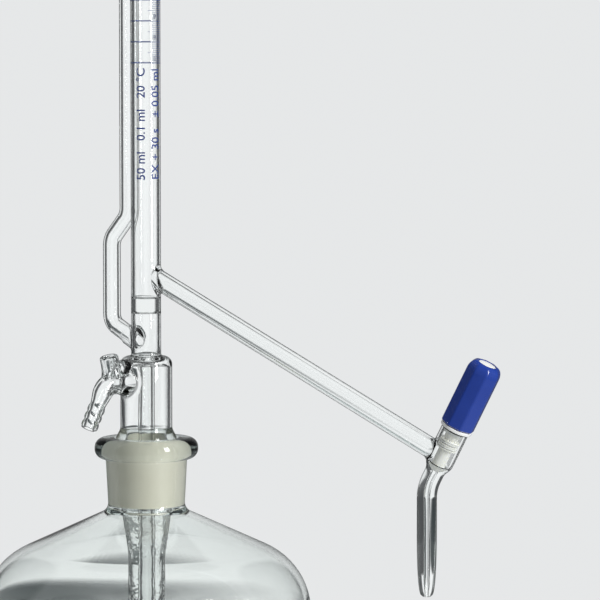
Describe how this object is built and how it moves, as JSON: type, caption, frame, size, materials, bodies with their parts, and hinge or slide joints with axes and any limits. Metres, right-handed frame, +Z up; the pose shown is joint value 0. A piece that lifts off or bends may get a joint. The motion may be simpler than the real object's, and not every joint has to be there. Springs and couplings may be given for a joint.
{
  "type": "automatic burette",
  "caption": "Pressure-filled glass burette with overflow zero, side riser tube and needle valve with blue knob on a sloping arm, standing in the ground neck of its reservoir bottle",
  "frame": {"origin": "centre of the bottle's foot on the bench, on the burette's axis", "axes": "+Z up along the burette, +X toward the delivery arm and valve, +Y by the right-hand rule"},
  "size_m": [0.2592, 0.156, 0.9171],
  "materials": {
    "bottle_glass": "clear moulded glass with a faint green cast",
    "ground_glass": "finely ground, frosted glass",
    "clear_glass": "clear drawn glass tube, flame polished",
    "white_ptfe": "turned white fluoropolymer, waxy",
    "white_plastic": "moulded white plastic",
    "blue_plastic": "moulded deep blue plastic, glossy",
    "seal_rubber": "white silicone rubber"
  },
  "bodies": {
    "bottle": {"bottle_base": "bottle_glass", "bottle_body": "bottle_glass", "bottle_neck": "bottle_glass"},
    "burette": {"joint_cone": "ground_glass", "cone_tail": "clear_glass", "head_chamber": "clear_glass", "dip_tube": "clear_glass", "nozzle_elbow": "clear_glass", "hose_nozzle": "clear_glass", "finger_vent": "clear_glass", "riser_stem": "clear_glass", "septum_plug": "clear_glass", "riser_elbow": "clear_glass", "riser_tube": "clear_glass", "riser_crook": "clear_glass", "tube_bridges": "clear_glass", "burette_barrel": "clear_glass", "zero_bulb": "clear_glass", "zero_jet": "clear_glass", "vent_spout": "clear_glass", "side_arm": "clear_glass", "valve_barrel": "clear_glass", "outlet_bend": "clear_glass", "delivery_jet": "clear_glass", "guide_nut": "white_plastic"},
    "spindle": {"valve_spindle": "white_ptfe", "spindle_seals": "seal_rubber"},
    "knob": {"valve_knob": "blue_plastic", "knob_cap": "white_plastic"}
  },
  "joints": [
    {"name": "burette_lift", "type": "slide", "parent": "bottle", "child": "burette", "axis": [0, 0, 1], "range_m": [0, 0.2]},
    {"name": "valve_travel", "type": "slide", "parent": "burette", "child": "spindle", "axis": [0.4602, 0, 0.8878], "range_m": [0, 0.00305]},
    {"name": "knob_turn", "type": "hinge", "parent": "spindle", "child": "knob", "pos_m": [0.15359, 0, 0.17878], "axis": [0.4602, 0, 0.8878], "range_deg": [0, 540]}
  ],
  "couplings": [
    {"joint": "valve_travel", "follows": "knob_turn", "m_per_rad": 0.00031831}
  ]
}
